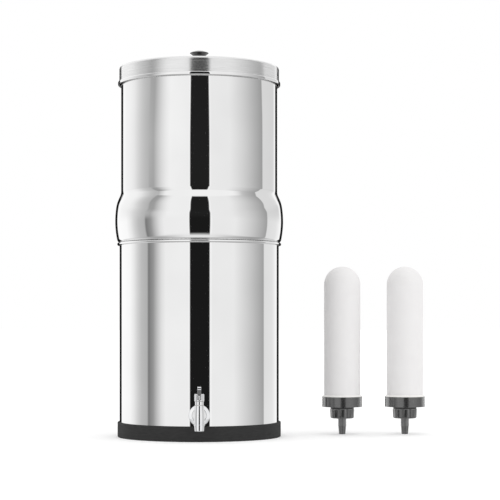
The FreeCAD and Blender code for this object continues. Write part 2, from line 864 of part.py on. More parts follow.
def candle_cap():
    """The plastic cap: a cup round the shell's foot, and a threaded, tapered and bored stem."""
    cup = turned_polygon([
        (0, cap_underside),
        (cap_radius, cap_underside),
        (cap_radius, cap_top),
        (candle_radius + cap_side_gap, cap_top),
        (candle_radius + cap_side_gap, cup_inner_floor),
        (0, cup_inner_floor),
    ])
    for groove in range(cap_groove_count):
        height = cap_underside + cap_height * (groove + 1) / (cap_groove_count + 1)
        groove_floor = cap_radius - cap_groove_depth
        cup = cup.cut(tube(groove_floor, cap_radius + cut_margin, height, height + cap_groove_width))
    thread = thread_rings(
        stem_thread_root, stem_thread_radius, stem_taper_height, cap_underside, stem_thread_pitch,
    )
    taper = Part.makeCone(stem_tip_radius, stem_thread_root, stem_taper_height)
    cap = cup.fuse(thread).fuse(taper)
    return cap.cut(Part.makeCylinder(stem_bore, cup_inner_floor + cut_margin))


def candle_potting():
    """The white bead of potting where the shell leaves the cap."""
    inner = candle_radius + fixed_gap
    return turned_polygon([
        (inner, cap_top),
        (inner + potting_width, cap_top),
        (inner, cap_top + potting_height),
    ])


def candle_seal():
    """The rubber washer between cap and nut."""
    return tube(nut_bore_radius, seal_radius, cap_underside - seal_thickness, cap_underside)


def candle_nut():
    """The fluted plastic nut on the stem."""
    top = nut_foot + nut_thickness
    slant = math.sqrt(0.5)
    round_centre = nut_foot_radius - nut_foot_round
    foot_round = Part.Arc(
        in_profile(round_centre, nut_foot),
        in_profile(round_centre + nut_foot_round * slant, nut_foot + nut_foot_round * (1 - slant)),
        in_profile(nut_foot_radius, nut_foot + nut_foot_round),
    ).toShape()
    outline = Part.makePolygon([
        in_profile(nut_foot_radius, nut_foot + nut_foot_round),
        in_profile(nut_radius, top - nut_top_chamfer),
        in_profile(nut_radius - nut_top_chamfer, top),
        in_profile(nut_bore_radius, top),
        in_profile(nut_bore_radius, nut_foot + nut_counterbore_depth),
        in_profile(nut_counterbore_radius, nut_foot + nut_counterbore_depth),
        in_profile(nut_counterbore_radius, nut_foot),
        in_profile(round_centre, nut_foot),
    ])
    nut = turned([foot_round] + outline.Edges)
    for flute in range(nut_flutes):
        angle = 2 * math.pi * flute / nut_flutes
        distance = nut_radius + nut_flute_radius - nut_flute_depth
        foot = FreeCAD.Vector(distance * math.cos(angle), distance * math.sin(angle), nut_foot - cut_margin)
        nut = nut.cut(Part.makeCylinder(nut_flute_radius, nut_thickness + 2 * cut_margin, foot))
    return nut


makers = {
    "base_boot": base_boot,
    "lower_wall": lower_wall,
    "lower_floor": lower_floor,
    "tap_outer_gasket": tap_outer_gasket,
    "tap_inner_gasket": tap_inner_gasket,
    "tap_washer": tap_washer,
    "tap_locknut": tap_locknut,
    "tap_escutcheon": tap_escutcheon,
    "tap_body": tap_body,
    "tap_bonnet_gasket": tap_bonnet_gasket,
    "tap_bonnet": tap_bonnet,
    "tap_stem_seal": tap_stem_seal,
    "tap_stem": tap_stem,
    "tap_seat_cup": tap_seat_cup,
    "tap_spring": tap_spring,
    "tap_lever": tap_lever,
    "tap_pin": tap_pin,
    "upper_wall": upper_wall,
    "upper_floor": upper_floor,
    "lid_shell": lid_shell,
    "lid_knob": lid_knob,
    "lid_knob_washer": lid_knob_washer,
    "lid_screw": lid_screw,
    "lid_screw_washer": lid_screw_washer,
}

candle_makers = {
    "shell": candle_shell,
    "core": candle_core,
    "pad": candle_pad,
    "cap": candle_cap,
    "potting": candle_potting,
    "seal": candle_seal,
    "nut": candle_nut,
}


def build():
    """Every sub-part by its node name."""
    parts = {name: maker() for name, maker in makers.items()}
    for piece, maker in candle_makers.items():
        shape = maker()
        for place, side in enumerate(("left", "right")):
            placed = shape.copy()
            placed.translate(FreeCAD.Vector(candle_distance + place * candle_spacing, candle_setback, 0))
            parts[f"candle_{side}_{piece}"] = placed
    return parts


os.makedirs("parts", exist_ok=True)
for name, shape in build().items():
    shape.exportStep(f"parts/{name}.step")
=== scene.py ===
import json
import math

import bmesh
import bpy
from mathutils import Matrix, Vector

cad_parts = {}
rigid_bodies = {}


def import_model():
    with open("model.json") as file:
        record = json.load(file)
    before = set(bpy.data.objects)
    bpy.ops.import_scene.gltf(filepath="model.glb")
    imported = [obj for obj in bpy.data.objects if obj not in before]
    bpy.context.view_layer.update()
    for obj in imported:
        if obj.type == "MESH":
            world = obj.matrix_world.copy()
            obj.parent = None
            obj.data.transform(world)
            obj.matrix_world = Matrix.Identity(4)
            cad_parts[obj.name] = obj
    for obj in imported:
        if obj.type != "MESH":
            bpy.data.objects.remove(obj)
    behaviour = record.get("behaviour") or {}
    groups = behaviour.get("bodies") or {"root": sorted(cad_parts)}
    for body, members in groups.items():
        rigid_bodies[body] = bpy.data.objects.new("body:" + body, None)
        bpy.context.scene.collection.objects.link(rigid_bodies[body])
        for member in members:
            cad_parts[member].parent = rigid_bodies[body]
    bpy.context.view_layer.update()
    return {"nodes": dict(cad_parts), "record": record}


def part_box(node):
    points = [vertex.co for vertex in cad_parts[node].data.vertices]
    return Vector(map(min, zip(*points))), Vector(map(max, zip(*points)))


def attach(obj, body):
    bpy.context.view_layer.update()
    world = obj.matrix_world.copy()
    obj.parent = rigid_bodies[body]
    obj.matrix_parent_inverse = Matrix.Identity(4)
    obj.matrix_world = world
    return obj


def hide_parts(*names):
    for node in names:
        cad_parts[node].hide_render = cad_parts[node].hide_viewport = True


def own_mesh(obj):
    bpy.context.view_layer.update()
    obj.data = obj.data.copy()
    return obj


# Looks of the gravity water filter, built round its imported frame. Lengths are in metres.

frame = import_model()

mm = 0.001

# Sizes shared with the construction
sheet_gauge = 0.6 * mm
lift_gap = 0.3 * mm

lower_radius = 108.0 * mm
rim_bead_height = 260.6 * mm
rim_bead_radius = 1.9 * mm
rim_bead_turn = 300.0

boot_stretch_gap = 0.1 * mm
boot_wall = 2.7 * mm
boot_radius = lower_radius + boot_stretch_gap + boot_wall
boot_floor = 3.0 * mm
boot_edge_round = 1.2 * mm
boot_lip_round = 0.5 * mm
boot_groove_count = 3
boot_groove_spacing = 12.0 * mm
boot_groove_inset = 14.8 * mm
boot_groove_width = 3.0 * mm
boot_groove_depth = 1.0 * mm

spigot_depth = 8.6 * mm
seat_turn = 60.0
bulge_swell = 5.9 * mm
bulge_radius = lower_radius + bulge_swell
bulge_arc_radius = 125.0 * mm
bulge_lower_angle = 11.5
bulge_upper_angle = 8.5
shoulder_arc_radius = 40.0 * mm
cone_angle = 24.0
neck_arc_radius = 15.0 * mm
upper_setback = 2.1 * mm
upper_radius = lower_radius - upper_setback
upper_hem_height = 499.6 * mm
hem_bead_radius = 1.0 * mm
hem_turn = 270.0

lid_side_gap = 1.8 * mm
lid_radius = upper_radius + lid_side_gap + sheet_gauge
lid_corner = 3.6 * mm
lid_skirt_depth = 23.6 * mm
lid_bead_radius = 1.2 * mm
lid_bead_height = 4.6 * mm
lid_bead_close = 110.0
lid_land_width = 24.3 * mm
lid_plateau_radius = lid_radius - lid_land_width
lid_plateau_rise = 2.5 * mm
lid_step_bend = 4.0 * mm
lid_step_angle = 40.0
screw_hole_radius = 2.7 * mm

tap_height = 34.4 * mm
shank_hole_radius = 8.2 * mm

# Finish of the meshes
turn_steps = 384
small_turn_steps = 128
bend_tolerance = 0.002 * mm
coarsest_bend = math.radians(8)
crease_angle = math.radians(32)
casting_ease = 0.5

# Camera, fitted to the curves of the lid, the seam and the boot in the photograph
picture_size = 500
camera_distance = 2.250
camera_height = 0.158
focal_pixels = 1653.75
axis_pixel_x = 199.3
horizon_pixel_y = 320.0
sensor_width = 36.0
farthest_seen = 100.0


def walk(start, heading, moves, offset):
    """Points, as (radius, height), a steady offset to the left of a path of straight runs and bends."""
    angle = math.radians(heading)
    radius = start[0] - offset * math.sin(angle)
    height = start[1] + offset * math.cos(angle)
    points = [(radius, height)]
    for move in moves:
        if move[0] == "ahead":
            radius += move[1] * math.cos(angle)
            height += move[1] * math.sin(angle)
            points.append((radius, height))
            continue
        side = math.copysign(1.0, move[2])
        bend = move[1] - side * offset
        turn = math.radians(move[2])
        centre_radius = radius - side * bend * math.sin(angle)
        centre_height = height + side * bend * math.cos(angle)
        finest = 2 * math.acos(1 - min(1.0, bend_tolerance / bend))
        count = max(2, math.ceil(abs(turn) / min(finest, coarsest_bend)))
        for step in range(1, count + 1):
            reached = angle + turn * step / count
            radius = centre_radius + side * bend * math.sin(reached)
            height = centre_height - side * bend * math.cos(reached)
            points.append((radius, height))
        angle += turn
    return points


def sheet_outline(start, heading, moves, thickness):
    """The closed outline of a bent sheet, its metal left of the path, or right where negative."""
    near = walk(start, heading, moves, 0.0)
    far = walk(start, heading, moves, thickness)
    return near + far[::-1]


def placed(name, data):
    """A new object in the scene."""
    thing = bpy.data.objects.new(name, data)
    bpy.context.scene.collection.objects.link(thing)
    return thing


def crease(mesh):
    """Smooth shading with sharp creases."""
    mesh.shade_smooth()
    mesh.set_sharp_from_angle(angle=crease_angle)


def finish_mesh(mesh):
    """Joined points, outward faces and creased shading."""
    work = bmesh.new()
    work.from_mesh(mesh)
    bmesh.ops.remove_doubles(work, verts=work.verts, dist=0.1 * bend_tolerance)
    bmesh.ops.recalc_face_normals(work, faces=work.faces)
    work.to_mesh(mesh)
    work.free()
    crease(mesh)


def lathe(name, outline, steps=turn_steps, place=None):
    """An object turned about Z from a closed outline of (radius, height) points."""
    verts = []
    rings = []
    for radius, height in outline:
        if radius < bend_tolerance:
            rings.append([len(verts)])
            verts.append((0.0, 0.0, height))
            continue
        rings.append(list(range(len(verts), len(verts) + steps)))
        for step in range(steps):
            angle = 2 * math.pi * step / steps
            verts.append((radius * math.cos(angle), radius * math.sin(angle), height))
    faces = []
    for first, second in zip(rings, rings[1:] + rings[:1]):
        if len(first) == 1 and len(second) == 1:
            continue
        for step in range(steps):
            after = (step + 1) % steps
            corners = [first[step % len(first)], first[after % len(first)],
                       second[after % len(second)], second[step % len(second)]]
            faces.append(tuple(dict.fromkeys(corners)))
    mesh = bpy.data.meshes.new(name)
    mesh.from_pydata(verts, [], faces)
    finish_mesh(mesh)
    if place is not None:
        mesh.transform(place)
    return placed(name, mesh)


def baked(piece):
    """The piece with its modifiers applied."""
    bpy.context.view_layer.update()
    graph = bpy.context.evaluated_depsgraph_get()
    mesh = bpy.data.meshes.new_from_object(piece.evaluated_get(graph))
    piece.modifiers.clear()
    piece.data = mesh
    return piece


def cut_with(piece, cutter):
    """Cuts one object's shape out of another and removes the cutter."""
    cut = piece.modifiers.new("cut", "BOOLEAN")
    cut.operation = "DIFFERENCE"
    cut.solver = "EXACT"
    cut.object = cutter
    baked(piece)
    bpy.data.objects.remove(cutter)
    crease(piece.data)
    return piece


def softened(node, voxel, rounds):
    """A copy of a CAD node with its edges rounded as in a casting."""
    source = frame["nodes"][node]
    piece = placed(node + "_finished", source.data.copy())
    remesh = piece.modifiers.new("remesh", "REMESH")
    remesh.mode = "VOXEL"
    remesh.voxel_size = voxel
    ease = piece.modifiers.new("ease", "SMOOTH")
    ease.factor = casting_ease
    ease.iterations = rounds
    baked(piece)
    piece.data.shade_smooth()
    return piece


def paint(mesh, material):
    """Gives a mesh one material."""
    mesh.materials.clear()
    mesh.materials.append(material)


def dress(piece, body, material, slot, *nodes):
    """Gives a piece its material and its body, and hides the nodes it stands for. The slot is not used.
    """
    paint(piece.data, material)
    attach(piece, body)
    if nodes:
        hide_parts(*nodes)


# Node trees

def grey(value):
    return (value, value, value)


def opaque(colour):
    return (*colour, 1.0)


def feed(tree, socket, value):
    """Links a node's input to an output, or sets it to a number or a colour."""
    if isinstance(value, bpy.types.NodeSocket):
        tree.links.new(value, socket)
    else:
        socket.default_value = value


def calculated(tree, operation, *values):
    """A number worked out from numbers and the outputs of nodes."""
    node = tree.nodes.new("ShaderNodeMath")
    node.operation = operation
    for socket, value in zip(node.inputs, values):
        feed(tree, socket, value)
    return node.outputs[0]


def ramp(tree, factor, stops):
    """A brightness ramp over a 0 to 1 factor."""
    node = tree.nodes.new("ShaderNodeValToRGB")
    elements = node.color_ramp.elements
    while len(elements) > 1:
        elements.remove(elements[-1])
    first_position, first_shade = stops[0]
    elements[0].position = first_position
    elements[0].color = opaque(grey(first_shade))
    for position, shade in stops[1:]:
        elements.new(position).color = opaque(grey(shade))
    tree.links.new(factor, node.inputs["Fac"])
    return node.outputs["Color"]


def mixed(tree, factor, first, second):
    """One colour or the other by a factor."""
    node = tree.nodes.new("ShaderNodeMix")
    node.data_type = "RGBA"
    for socket, value in (("Factor", factor), ("A", first), ("B", second)):
        feed(tree, node.inputs[socket], value)
    return node.outputs["Result"]


# Materials
noise_low = 0.3
noise_high = 0.7


class Recipe:
    """A material's node tree, with short ways to add nodes."""

    def __init__(self, name, colour, roughness, metallic=0.0, **sockets):
        self.material = bpy.data.materials.new(name)
        self.material.use_nodes = True
        self.tree = self.material.node_tree
        self.shader = self.tree.nodes["Principled BSDF"]
        self.shader.inputs["Base Color"].default_value = opaque(colour)
        self.shader.inputs["Roughness"].default_value = roughness
        self.shader.inputs["Metallic"].default_value = metallic
        for socket, value in sockets.items():
            self.shader.inputs[socket.replace("_", " ")].default_value = value
        coordinates = self.tree.nodes.new("ShaderNodeTexCoord").outputs
        self.place = coordinates["Object"]
        self.normal = coordinates["Normal"]

    def link(self, output, target):
        self.tree.links.new(output, target)

    def math(self, operation, *values):
        return calculated(self.tree, operation, *values)

    def parts(self, vector=None):
        node = self.tree.nodes.new("ShaderNodeSeparateXYZ")
        self.link(self.place if vector is None else vector, node.inputs[0])
        return node.outputs

    def sum_of_products(self, first, by_first, second, by_second):
        first_product = self.math("MULTIPLY", first, by_first)
        second_product = self.math("MULTIPLY", second, by_second)
        return self.math("ADD", first_product, second_product)

    def inward(self):
        """1 where the surface faces the vessel's axis, and 0 elsewhere."""
        x, y, _ = self.parts()
        facing_x, facing_y, _ = self.parts(self.normal)
        outward = self.sum_of_products(x, facing_x, y, facing_y)
        return self.math("LESS_THAN", outward, 0.0)

    def vector(self, *values):
        node = self.tree.nodes.new("ShaderNodeCombineXYZ")
        for socket, value in zip(node.inputs, values):
            feed(self.tree, socket, value)
        return node.outputs[0]

    def round_place(self, across, along, around, centre=(0.0, 0.0)):
        """Radius, height and angle round an upright axis, each with its own frequency."""
        x, y, z = self.parts()
        x = self.math("SUBTRACT", x, centre[0])
        y = self.math("SUBTRACT", y, centre[1])
        radius = self.math("SQRT", self.sum_of_products(x, x, y, y))
        angle = self.math("ARCTAN2", y, x)
        return self.vector(
            self.math("MULTIPLY", radius, across),
            self.math("MULTIPLY", z, along),
            self.math("MULTIPLY", angle, around),
        )

    def noise(self, scale, detail=4.0, place=None, roughness=0.5):
        node = self.tree.nodes.new("ShaderNodeTexNoise")
        node.inputs["Scale"].default_value = scale
        node.inputs["Detail"].default_value = detail
        node.inputs["Roughness"].default_value = roughness
        self.link(self.place if place is None else place, node.inputs["Vector"])
        return node.outputs["Fac"]

    def spread(self, factor, low, high):
        """Maps a noise, which mostly keeps to its middle values, onto a range."""
        node = self.tree.nodes.new("ShaderNodeMapRange")
        node.inputs["From Min"].default_value = noise_low
        node.inputs["From Max"].default_value = noise_high
        node.inputs["To Min"].default_value = low
        node.inputs["To Max"].default_value = high
        self.link(factor, node.inputs["Value"])
        return node.outputs["Result"]

    def tint(self, factor, low, high):
        """Colours the base between two shades."""
        colour = mixed(self.tree, self.spread(factor, 0.0, 1.0), opaque(low), opaque(high))
        self.link(colour, self.shader.inputs["Base Color"])

    def rough(self, factor, low, high):
        self.link(self.spread(factor, low, high), self.shader.inputs["Roughness"])

    def bump(self, height, distance, strength=1.0):
        node = self.tree.nodes.new("ShaderNodeBump")
        node.inputs["Strength"].default_value = strength
        node.inputs["Distance"].default_value = distance
        self.link(height, node.inputs["Height"])
        self.link(node.outputs["Normal"], self.shader.inputs["Normal"])


def polished_steel():
    """Sheet polished to a mirror outside, with faint buffing lines, and satin inside."""
    recipe = Recipe("polished_steel", grey(0.86), 0.035, metallic=1.0)
    satin_added = 0.32
    lines = recipe.noise(1.0, detail=3.0, place=recipe.round_place(900.0, 900.0, 6.0))
    inside = recipe.math("MULTIPLY", recipe.inward(), satin_added)
    finish = recipe.math("ADD", recipe.spread(lines, 0.03, 0.036), inside)
    recipe.link(finish, recipe.shader.inputs["Roughness"])
    recipe.tint(recipe.noise(14.0, detail=2.0), grey(0.84), grey(0.88))
    return recipe.material


def brushed_lid():
    """Sheet brushed round its axis, which draws reflections out across the brushing."""
    recipe = Recipe("brushed_lid", grey(0.80), 0.20, metallic=0.94)
    recipe.shader.inputs["Anisotropic"].default_value = 0.8
    recipe.shader.inputs["Anisotropic Rotation"].default_value = 0.25
    around = recipe.tree.nodes.new("ShaderNodeTangent")
    around.direction_type = "RADIAL"
    around.axis = "Z"
    recipe.link(around.outputs["Tangent"], recipe.shader.inputs["Tangent"])
    lines = recipe.noise(1.0, detail=5.0, place=recipe.round_place(1600.0, 1600.0, 4.0))
    recipe.rough(lines, 0.16, 0.26)
    recipe.tint(lines, grey(0.74), grey(0.86))
    recipe.bump(lines, 0.01 * mm, 0.25)
    return recipe.material


def satin_steel():
    """Machined or matt rolled stainless steel on inner pieces."""
    recipe = Recipe("satin_steel", grey(0.70), 0.30, metallic=1.0)
    lines = recipe.noise(1.0, detail=4.0, place=recipe.round_place(1200.0, 1200.0, 8.0))
    recipe.rough(lines, 0.24, 0.38)
    recipe.tint(lines, grey(0.64), grey(0.76))
    recipe.bump(lines, 0.01 * mm, 0.3)
    return recipe.material


def chrome():
    """Bright plating with faint casting waves."""
    recipe = Recipe("tap_chrome", grey(0.88), 0.05, metallic=1.0)
    recipe.rough(recipe.noise(220.0), 0.03, 0.08)
    recipe.tint(recipe.noise(90.0), (0.85, 0.86, 0.88), grey(0.91))
    recipe.bump(recipe.noise(180.0, detail=1.0), 0.03 * mm, 0.5)
    return recipe.material


def boot_rubber():
    """Dark moulded rubber with a faint drawn grain round it."""
    recipe = Recipe("boot_rubber", grey(0.034), 0.60, Specular_IOR_Level=0.08)
    grain = recipe.noise(1.0, detail=5.0, place=recipe.round_place(700.0, 1500.0, 14.0))
    recipe.tint(grain, grey(0.028), grey(0.042))
    recipe.rough(recipe.noise(500.0), 0.55, 0.68)
    recipe.bump(grain, 0.03 * mm, 0.5)
    return recipe.material


def seal_rubber():
    """Plain black rubber of the seals."""
    recipe = Recipe("seal_rubber", grey(0.03), 0.55)
    recipe.tint(recipe.noise(300.0), grey(0.022), grey(0.04))
    recipe.bump(recipe.noise(900.0), 0.03 * mm, 0.6)
    return recipe.material


def silicone():
    """Milky soft silicone."""
    recipe = Recipe("silicone", (0.80, 0.80, 0.77), 0.45)
    recipe.tint(recipe.noise(200.0), (0.76, 0.76, 0.73), (0.84, 0.84, 0.81))
    recipe.bump(recipe.noise(700.0), 0.02 * mm, 0.5)
    return recipe.material


def fibre():
    """Pale grey pressed fibre."""
    recipe = Recipe("fibre", (0.40, 0.39, 0.36), 0.75)
    recipe.tint(recipe.noise(600.0), (0.34, 0.33, 0.30), (0.46, 0.45, 0.42))
    recipe.bump(recipe.noise(1500.0), 0.04 * mm, 0.7)
    return recipe.material


def knob_black():
    """Glossy moulded black."""
    recipe = Recipe("knob_black", grey(0.008), 0.10, Coat_Weight=0.6, Coat_Roughness=0.05)
    recipe.rough(recipe.noise(260.0), 0.07, 0.14)
    recipe.tint(recipe.noise(120.0), grey(0.006), grey(0.012))
    recipe.bump(recipe.noise(160.0, detail=1.0), 0.01 * mm, 0.4)
    return recipe.material


def ceramic(side_name, centre):
    """Matte slip-cast ceramic with fine pores and faint turning rings."""
    recipe = Recipe("ceramic_" + side_name, (0.80, 0.79, 0.79), 0.62)
    pores = recipe.noise(1400.0, detail=6.0)
    recipe.tint(recipe.noise(60.0, detail=3.0), (0.795, 0.783, 0.783), (0.81, 0.80, 0.798))
    rings = recipe.noise(1.0, detail=2.0, place=recipe.round_place(0.0, 330.0, 0.4, centre))
    both = recipe.math("ADD", recipe.math("MULTIPLY", pores, 0.6), rings)
    recipe.rough(pores, 0.55, 0.70)
    recipe.bump(both, 0.05 * mm, 0.5)
    return recipe.material


def carbon():
    """Packed carbon granules."""
    recipe = Recipe("carbon", grey(0.02), 0.85)
    recipe.tint(recipe.noise(900.0, detail=6.0), grey(0.012), grey(0.035))
    recipe.bump(recipe.noise(1100.0, detail=6.0), 0.3 * mm, 0.9)
    return recipe.material


def felt():
    """White filter felt."""
    recipe = Recipe("felt", (0.82, 0.82, 0.80), 0.95, Sheen_Weight=0.3)
    recipe.tint(recipe.noise(800.0, detail=6.0), (0.74, 0.74, 0.72), (0.86, 0.86, 0.84))
    recipe.bump(recipe.noise(1500.0, detail=6.0), 0.2 * mm, 0.8)
    return recipe.material


def moulded_plastic(name, shade, roughness):
    """Dark glossy moulded plastic with a fine uneven skin."""
    recipe = Recipe(name, grey(shade), roughness, Specular_IOR_Level=1.0, Coat_Weight=1.0, Coat_IOR=1.7)
    recipe.shader.inputs["Coat Roughness"].default_value = roughness
    recipe.tint(recipe.noise(240.0), grey(shade * 0.85), grey(shade * 1.15))
    recipe.rough(recipe.noise(700.0), roughness - 0.04, roughness + 0.06)
    recipe.bump(recipe.noise(420.0), 0.03 * mm, 0.5)
    return recipe.material


def potting_resin():
    """Cured white potting with a slightly uneven surface."""
    recipe = Recipe("potting_white", (0.88, 0.87, 0.85), 0.40)
    recipe.tint(recipe.noise(180.0), (0.85, 0.84, 0.815), (0.90, 0.89, 0.87))
    recipe.bump(recipe.noise(420.0), 0.12 * mm, 0.6)
    return recipe.material


materials = {
    "polished_steel": polished_steel(),
    "lid_steel": brushed_lid(),
    "inner_steel": satin_steel(),
    "boot_rubber": boot_rubber(),
    "tap_chrome": chrome(),
    "seal_rubber": seal_rubber(),
    "silicone": silicone(),
    "fibre": fibre(),
    "knob_black": knob_black(),
    "carbon": carbon(),
    "felt": felt(),
    "cap_grey": moulded_plastic("cap_grey", 0.020, 0.22),
    "nut_grey": moulded_plastic("nut_grey", 0.012, 0.22),
    "potting_white": potting_resin(),
}
materials["valve_steel"] = materials["inner_steel"]
materials["fastener_steel"] = materials["inner_steel"]


# Vessels, boot and lid

def boot():
    """The boot, from its underside at the axis round to its inner floor."""
    inner = lower_radius + boot_stretch_gap
    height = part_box("base_boot")[1].z
    outline = [(0.0, 0.0)]
    for groove in reversed(range(boot_groove_count)):
        near = boot_radius - boot_groove_inset - groove * boot_groove_spacing
        far = near + boot_groove_width
        outline += [(near, 0.0), (near, boot_groove_depth), (far, boot_groove_depth), (far, 0.0)]
    moves = [
        ("bend", boot_edge_round, 90),
        ("ahead", height - boot_edge_round - boot_lip_round),
        ("bend", boot_lip_round, 90),
        ("ahead", boot_wall - 2 * boot_lip_round),
        ("bend", boot_lip_round, 90),
    ]
    outline += walk((boot_radius - boot_edge_round, 0.0), 0, moves, 0.0)
    outline += [(inner, boot_floor), (0.0, boot_floor)]
    return lathe("boot_moulded", outline)


def lower_wall():
    """The lower vessel's polished wall with its rolled rim and the tap's hole."""
    inner = lower_radius - sheet_gauge
    tap_band = 2 * shank_hole_radius
    moves = [
        ("ahead", tap_height - tap_band - boot_floor),
        ("ahead", 2 * tap_band),
        ("ahead", rim_bead_height - tap_height - tap_band),
        ("bend", rim_bead_radius, -rim_bead_turn),
    ]
    wall = lathe("lower_wall_polished", sheet_outline((inner, boot_floor), 90, moves, -sheet_gauge))
    lay_forward = Matrix.Translation((0, 0, tap_height)) @ Matrix.Rotation(math.pi / 2, 4, "X")
    drill_end = 1.2 * lower_radius
    drill_start = drill_end / 2
    outline = [
        (0.0, drill_start),
        (shank_hole_radius, drill_start),
        (shank_hole_radius, drill_end),
        (0.0, drill_end),
    ]
    drill = lathe("drill", outline, small_turn_steps, lay_forward)
    return cut_with(wall, drill)


def upper_wall():
    """The upper vessel's polished wall: spigot, seat, bulge, neck, straight wall and hem."""
    bead_centre = lower_radius - sheet_gauge + rim_bead_radius
    spigot_radius = lower_radius - sheet_gauge - lift_gap
    seat_radius = rim_bead_radius + lift_gap
    low = math.radians(bulge_lower_angle)
    high = math.radians(bulge_upper_angle)
    cone = math.radians(cone_angle)
    steep = math.radians(seat_turn)
    seat_end = bead_centre - seat_radius * math.cos(steep)
    under_bulge = bulge_radius - bulge_arc_radius * (1 - math.cos(low)) - seat_end
    lower_arc_radius = under_bulge / (math.cos(low) - math.cos(steep))
    cone_foot = (
        bulge_radius
        - bulge_arc_radius * (1 - math.cos(high))
        - shoulder_arc_radius * (math.cos(high) - math.cos(cone))
    )
    cone_top = upper_radius + neck_arc_radius * (1 - math.cos(cone))
    cone_length = (cone_foot - cone_top) / math.sin(cone)
    neck_height = (
        rim_bead_height
        + seat_radius * math.sin(steep)
        + lower_arc_radius * (math.sin(steep) - math.sin(low))
        + bulge_arc_radius * (math.sin(low) + math.sin(high))
        + shoulder_arc_radius * (math.sin(cone) - math.sin(high))
        + cone_length * math.cos(cone)
        + neck_arc_radius * math.sin(cone)
    )
    moves = [
        ("ahead", spigot_depth),
        ("bend", seat_radius, -seat_turn),
        ("bend", lower_arc_radius, seat_turn - bulge_lower_angle),
        ("bend", bulge_arc_radius, bulge_lower_angle + bulge_upper_angle),
        ("bend", shoulder_arc_radius, cone_angle - bulge_upper_angle),
        ("ahead", cone_length),
        ("bend", neck_arc_radius, -cone_angle),
        ("ahead", upper_hem_height - hem_bead_radius - neck_height),
        ("bend", hem_bead_radius, hem_turn),
    ]
    start = (spigot_radius, rim_bead_height - spigot_depth)
    return lathe("upper_wall_polished", sheet_outline(start, 90, moves, sheet_gauge))


def lid_shell():
    """The lid: plateau, step, land, corner and brushed skirt."""
    slope = math.radians(lid_step_angle)
    bend_drop = 2 * lid_step_bend * (1 - math.cos(slope))
    slope_length = (lid_plateau_rise - bend_drop) / math.sin(slope)
    step_width = 2 * lid_step_bend * math.sin(slope) + slope_length * math.cos(slope)
    moves = [
        ("ahead", lid_plateau_radius - screw_hole_radius),
        ("bend", lid_step_bend, -lid_step_angle),
        ("ahead", slope_length),
        ("bend", lid_step_bend, lid_step_angle),
        ("ahead", lid_radius - lid_corner - lid_plateau_radius - step_width),
        ("bend", lid_corner, -90),
        ("ahead", lid_skirt_depth - lid_corner),
    ]
    start = (screw_hole_radius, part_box("lid_shell")[1].z)
    return lathe("lid_brushed", sheet_outline(start, 0, moves, -sheet_gauge))


def lid_bead():
    """The lid's rolled edge, which is polished."""
    moves = [
        ("bend", lid_bead_radius - sheet_gauge, 180),
        ("ahead", lid_bead_height - 2 * lid_bead_radius),
        ("bend", lid_bead_radius - sheet_gauge, lid_bead_close),
    ]
    start = (lid_radius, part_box("lid_shell")[1].z - lid_plateau_rise - lid_skirt_depth)
    return lathe("lid_bead_polished", sheet_outline(start, -90, moves, -sheet_gauge))


dress(boot(), "lower_vessel", materials["boot_rubber"], "boot_rubber", "base_boot")
dress(lower_wall(), "lower_vessel", materials["polished_steel"], "polished_steel", "lower_wall")
dress(upper_wall(), "upper_vessel", materials["polished_steel"], "polished_steel", "upper_wall")
dress(lid_shell(), "lid", materials["lid_steel"], "lid_steel", "lid_shell")
dress(lid_bead(), "lid", materials["polished_steel"], "polished_steel")

# Tap castings, with their edges eased
for node, body, voxel, rounds in (
    ("tap_body", "lower_vessel", 0.28 * mm, 6),
    ("tap_bonnet", "lower_vessel", 0.16 * mm, 4),
    ("tap_lever", "lever", 0.14 * mm, 4),
    ("tap_escutcheon", "lower_vessel", 0.24 * mm, 5),
):
    dress(softened(node, voxel, rounds), body, materials["tap_chrome"], "tap_chrome", node)

slots = {row["node"]: row["material_slot"] for row in frame["record"]["subparts"]}


def wound_spring():
    """The valve's spring, which the rising stem presses against the bonnet."""
    spring = placed("tap_spring_wound", frame["nodes"]["tap_spring"].data.copy())
    spring.data.shade_smooth()
    dress(spring, "lower_vessel", materials[slots["tap_spring"]], slots["tap_spring"], "tap_spring")
    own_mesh(spring)


wound_spring()

# Every CAD node gets its slot's material, which shows where no piece stands for the node
ceramics = {}
for side in ("left", "right"):
    low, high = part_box(f"candle_{side}_shell")
    centre = ((low.x + high.x) / 2, (low.y + high.y) / 2)
    ceramics[side] = ceramic(side, centre)
for node, slot in slots.items():
    material = ceramics[node.split("_")[1]] if slot == "ceramic" else materials[slot]
    mesh = frame["nodes"][node].data
    paint(mesh, material)
    crease(mesh)

# The photograph shows neither the tap nor the candles in the mirror of the vessels
for piece in bpy.context.scene.objects:
    if piece.name.startswith(("tap_", "candle_")):
        piece.visible_glossy = False


# Floor
floor_half_width = 6.0
floor_depth_behind = 24.0
floor_shade = 0.80
floor_glow = 0.22


def studio_floor():
    """A plain white floor that takes the object's shadow and isn't seen in the metal."""
    left, right = -floor_half_width, floor_half_width
    front, back = -floor_half_width, floor_depth_behind
    corners = [(left, front, 0), (right, front, 0), (right, back, 0), (left, back, 0)]
    mesh = bpy.data.meshes.new("studio_floor")
    mesh.from_pydata(corners, [], [(0, 1, 2, 3)])
    floor = placed("studio_floor", mesh)
    recipe = Recipe("floor_white", grey(floor_shade), 0.9, Specular_IOR_Level=0.0)
    recipe.shader.inputs["Emission Color"].default_value = opaque(grey(1.0))
    recipe.shader.inputs["Emission Strength"].default_value = floor_glow
    paint(mesh, recipe.material)
    floor.visible_glossy = False


studio_floor()


